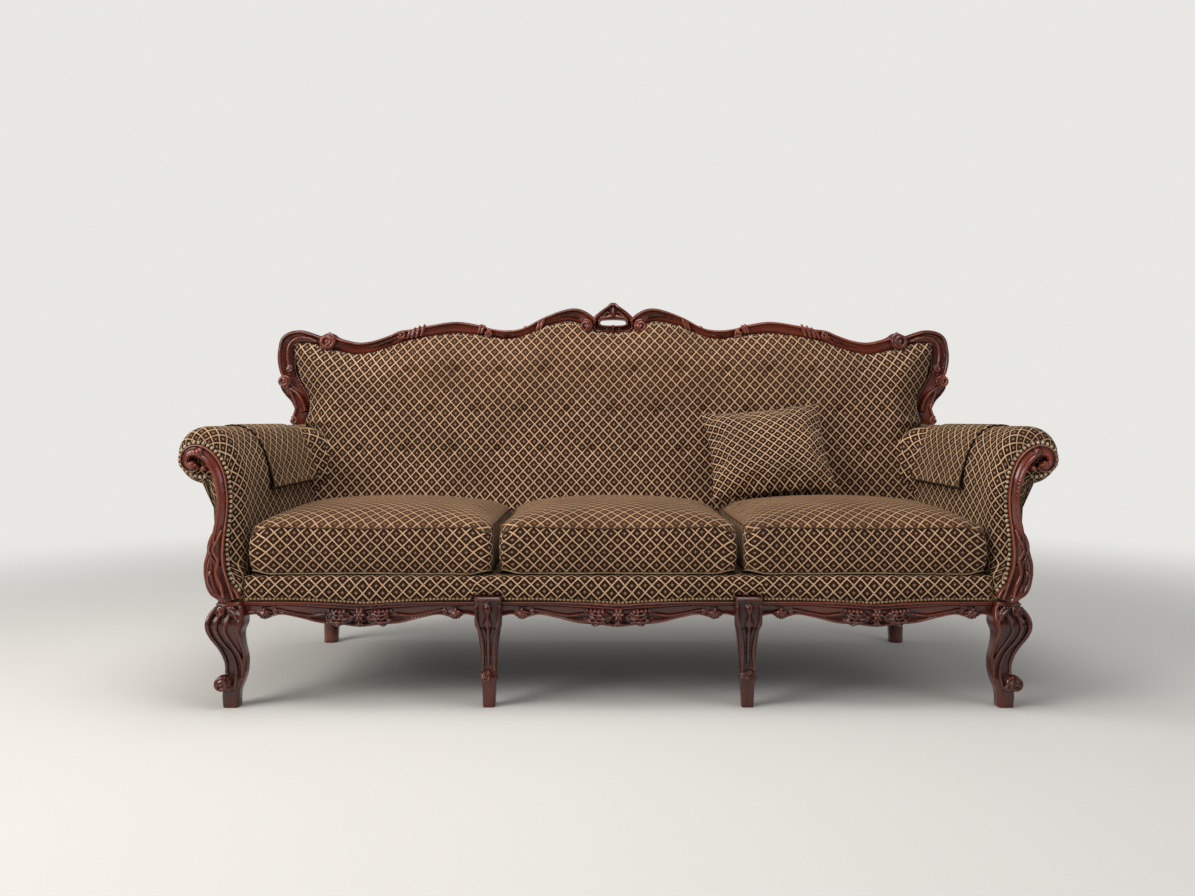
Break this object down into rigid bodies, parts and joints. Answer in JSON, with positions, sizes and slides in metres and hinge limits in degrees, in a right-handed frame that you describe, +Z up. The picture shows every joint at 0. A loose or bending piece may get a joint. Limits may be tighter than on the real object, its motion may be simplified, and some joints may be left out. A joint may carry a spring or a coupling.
{
  "type": "sofa",
  "caption": "Three-seat cabriole sofa: carved mahogany frame with scrolled crest, rolled arms and cabriole legs, trellis fabric, loose seat cushions, throw pillow and arm covers.",
  "frame": {"origin": "on the floor under the middle of the sofa's outer box", "axes": "+X to the sitter's left along the seat as seen from the front to the right, -Y towards the front, +Z up"},
  "size_m": [2.0564, 0.859, 1.0278],
  "materials": {
    "carved_mahogany": "gloss lacquer",
    "frame_beech": "raw sawn",
    "trellis_fabric": "woven chenille",
    "gimp_braid": "woven braid",
    "jute": "coarse plain weave",
    "dust_cloth": "thin cambric",
    "screw_steel": "zinc"
  },
  "bodies": {
    "frame": {"crest_cartouche": "carved_mahogany", "crest_rail_left": "carved_mahogany", "crest_rail_right": "carved_mahogany", "back_stile_left": "carved_mahogany", "back_stile_right": "carved_mahogany", "back_post_left": "frame_beech", "back_post_right": "frame_beech", "rear_leg_left": "carved_mahogany", "rear_leg_right": "carved_mahogany", "arm_post_left": "carved_mahogany", "arm_post_right": "carved_mahogany", "front_leg_left": "carved_mahogany", "front_leg_right": "carved_mahogany", "middle_leg_left": "carved_mahogany", "middle_leg_right": "carved_mahogany", "apron_left": "carved_mahogany", "apron_center": "carved_mahogany", "apron_right": "carved_mahogany", "front_seat_rail": "frame_beech", "rear_seat_rail": "frame_beech", "side_seat_rail_left": "frame_beech", "side_seat_rail_right": "frame_beech", "cross_rails": "frame_beech", "corner_blocks": "frame_beech", "corner_block_screws": "screw_steel", "arm_top_rail_left": "frame_beech", "arm_top_rail_right": "frame_beech", "arm_lower_rail_left": "frame_beech", "arm_lower_rail_right": "frame_beech", "back_top_rail": "frame_beech", "back_tack_rail": "frame_beech", "back_uprights": "frame_beech", "seat_webbing": "jute", "seat_hessian": "jute", "seat_deck": "trellis_fabric", "deck_band": "trellis_fabric", "back_webbing": "jute", "back_hessian": "jute", "back_pad": "trellis_fabric", "outside_back_panel": "trellis_fabric", "arm_pad_left": "trellis_fabric", "arm_pad_right": "trellis_fabric", "outside_arm_panel_left": "trellis_fabric", "outside_arm_panel_right": "trellis_fabric", "dust_cover": "dust_cloth", "gimp_arm_left": "gimp_braid", "gimp_arm_right": "gimp_braid", "gimp_apron": "gimp_braid", "gimp_back": "gimp_braid"},
    "cushion_left": {"seat_cushion_left": "trellis_fabric"},
    "cushion_center": {"seat_cushion_center": "trellis_fabric"},
    "cushion_right": {"seat_cushion_right": "trellis_fabric"},
    "pillow": {"throw_pillow": "trellis_fabric"},
    "cover_left": {"arm_cover_left": "trellis_fabric"},
    "cover_right": {"arm_cover_right": "trellis_fabric"}
  },
  "joints": [
    {"name": "cushion_left_slide", "type": "slide", "parent": "frame", "child": "cushion_left", "axis": [0, -1, 0], "range_m": [0, 0.6]},
    {"name": "cushion_center_slide", "type": "slide", "parent": "frame", "child": "cushion_center", "axis": [0, -1, 0], "range_m": [0, 0.6]},
    {"name": "cushion_right_slide", "type": "slide", "parent": "frame", "child": "cushion_right", "axis": [0, -1, 0], "range_m": [0, 0.6]},
    {"name": "pillow_lift", "type": "slide", "parent": "cushion_right", "child": "pillow", "axis": [0, 0, 1], "range_m": [0, 0.3]},
    {"name": "cover_left_lift", "type": "slide", "parent": "frame", "child": "cover_left", "axis": [0, 0, 1], "range_m": [0, 0.2]},
    {"name": "cover_right_lift", "type": "slide", "parent": "frame", "child": "cover_right", "axis": [0, 0, 1], "range_m": [0, 0.2]}
  ]
}
